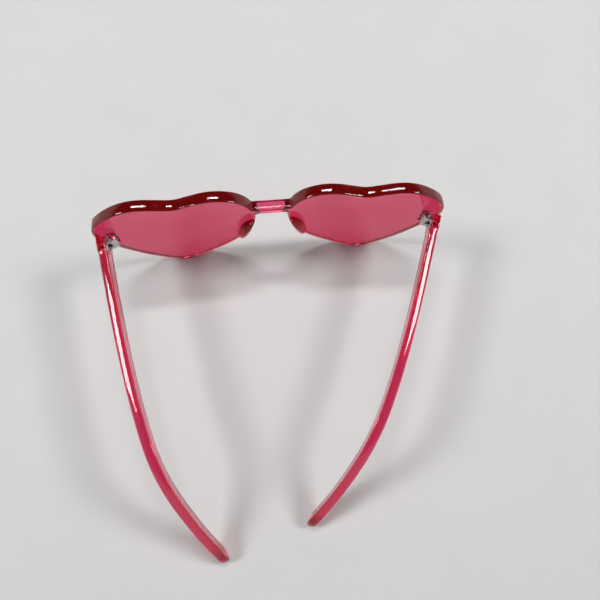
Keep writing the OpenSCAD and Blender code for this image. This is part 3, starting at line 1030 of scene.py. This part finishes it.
# FLOOR AND SWEEP
# A plain pale table top that sweeps up into a pale wall all round. It keeps the shadow, and where
# the lamps no longer reach it, it shows as pale as it does near the glasses.
floor_rings = (0.4, 0.8, 1.3)
floor_r = floor_rings[-1]
sweep_r = 0.6
sweep_steps = 13
wall_top = 1.5
floor_turns = 64
facing_down = 0.1
floor_dark = (0.83, 0.83, 0.825, 1)
floor_light = (0.88, 0.88, 0.875, 1)
floor_grain_scale = 30.0
floor_roughness = 0.9
floor_gloss = 0.1
backdrop_color = (1, 1, 0.995, 1)
backdrop_level = 0.58
backdrop_from = 0.4
backdrop_full = 1.1
fade_from = 0.7
fade_to = 1.35
top_level = 0.09
profile = [(r, 0.0) for r in (0.0, *floor_rings)]
profile += [(floor_r + sweep_r * math.sin(a), sweep_r * (1 - math.cos(a)))
            for a in np.linspace(0, math.pi / 2, sweep_steps)[1:]]
profile += [(floor_r + sweep_r, wall_top)]
bm = bmesh.new()
verts = [bm.verts.new((r, 0, z)) for r, z in profile]
chain = [bm.edges.new(pair) for pair in zip(verts, verts[1:])]
bmesh.ops.spin(bm, geom=verts + chain, cent=(0, 0, 0), axis=(0, 0, 1), angle=math.tau,
               steps=floor_turns, use_merge=True)
bmesh.ops.remove_doubles(bm, verts=bm.verts, dist=same_point)
bmesh.ops.recalc_face_normals(bm, faces=bm.faces)
bmesh.ops.reverse_faces(bm, faces=[f for f in bm.faces if f.normal.z < -facing_down])
floor_mesh = bpy.data.meshes.new("floor")
bm.to_mesh(floor_mesh)
bm.free()
floor_mesh.polygons.foreach_set("use_smooth", [True] * len(floor_mesh.polygons))
floor = linked("floor", floor_mesh)
floor_paint = bpy.data.materials.new("pale_matt_floor")
floor_paint.use_nodes = True
floor_tree = floor_paint.node_tree
floor_place = add_node(floor_tree, "ShaderNodeTexCoord").outputs["Object"]
floor_grain = noise(floor_tree, floor_place, floor_grain_scale, detail=6.0)["Fac"]
floor_color = mixed_color(floor_tree, floor_grain, floor_dark, floor_light)
floor_surface = floor_tree.nodes["Principled BSDF"]
floor_surface.inputs["Roughness"].default_value = floor_roughness
floor_surface.inputs["Specular IOR Level"].default_value = floor_gloss
floor_tree.links.new(floor_color, floor_surface.inputs["Base Color"])
distance = add_node(floor_tree, "ShaderNodeVectorMath", {0: floor_place},
                    operation="LENGTH").outputs["Value"]
far = remapped(floor_tree, distance, (backdrop_from, backdrop_full), interpolation_type="SMOOTHSTEP")
ray = add_node(floor_tree, "ShaderNodeLightPath").outputs
seen = math_node(floor_tree, "MAXIMUM", ray["Is Camera Ray"], ray["Is Glossy Ray"])
seen = math_node(floor_tree, "MAXIMUM", seen, ray["Is Transmission Ray"])
share = math_node(floor_tree, "MULTIPLY", seen, far)
height = add_node(floor_tree, "ShaderNodeSeparateXYZ", {"Vector": floor_place}).outputs["Z"]
level = remapped(floor_tree, height, (fade_from, fade_to), (backdrop_level, top_level),
                 interpolation_type="SMOOTHSTEP")
backdrop = add_node(floor_tree, "ShaderNodeEmission",
                    {"Color": backdrop_color, "Strength": level}).outputs["Emission"]
floor_look = add_node(floor_tree, "ShaderNodeMixShader",
                      {"Fac": share, 1: floor_surface.outputs["BSDF"], 2: backdrop}).outputs[0]
floor_tree.links.new(floor_look, floor_tree.nodes["Material Output"].inputs["Surface"])
floor.data.materials.append(floor_paint)
floor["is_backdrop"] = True

# LIGHT
# A long soft box above and in front of the glasses, whose image runs along the crown of the top
# edges, a squarer one on each side, which shows as a streak on the temples, and a dim surround.
lamp_aim = Vector((0, 0, 0.02))
key_place = (0.0, -0.49, 1.0)
key_size = (0.44, 0.09)
key_power = 2.8
side_x, side_y, side_z = 0.84, -0.14, 0.86
side_size = (0.34, 0.3)
side_power = 5.0
surround_level = 0.05


def soft_lamp(name, place, size, power):
    """An area lamp that faces the glasses"""
    data = bpy.data.lights.new(name, "AREA")
    data.shape, data.energy = "RECTANGLE", power
    data.size, data.size_y = size
    lamp = bpy.data.objects.new(name, data)
    lamp.location = place
    lamp.rotation_euler = (lamp_aim - Vector(place)).to_track_quat("-Z", "Y").to_euler()
    bpy.context.scene.collection.objects.link(lamp)
    lamp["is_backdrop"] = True


soft_lamp("key_light", key_place, key_size, key_power)
for name, side in (("left_light", 1), ("right_light", -1)):
    soft_lamp(name, (side * side_x, side_y, side_z), side_size, side_power)

world = bpy.data.worlds.new("surround")
bpy.context.scene.world = world
world.use_nodes = True
surround = world.node_tree.nodes["Background"].inputs
surround["Color"].default_value = (1, 1, 1, 1)
surround["Strength"].default_value = surround_level

# CAMERA
# Where the photograph was taken from: above and a little behind the glasses, with the wearer's
# left at the left of the picture.
camera_place = (0.00475, 0.02368, 0.22010)
camera_turn = (16.301, -2.501, 174.326)
camera_lens = 27.705
camera_data = bpy.data.cameras.new("camera")
camera_data.sensor_width = 36.0
camera_data.lens = camera_lens
camera_data.clip_start = 0.01
camera = bpy.data.objects.new("camera", camera_data)
camera.location = camera_place
camera.rotation_euler = tuple(math.radians(a) for a in camera_turn)
bpy.context.scene.collection.objects.link(camera)
bpy.context.scene.camera = camera
bpy.context.scene.view_settings.view_transform = "Standard"
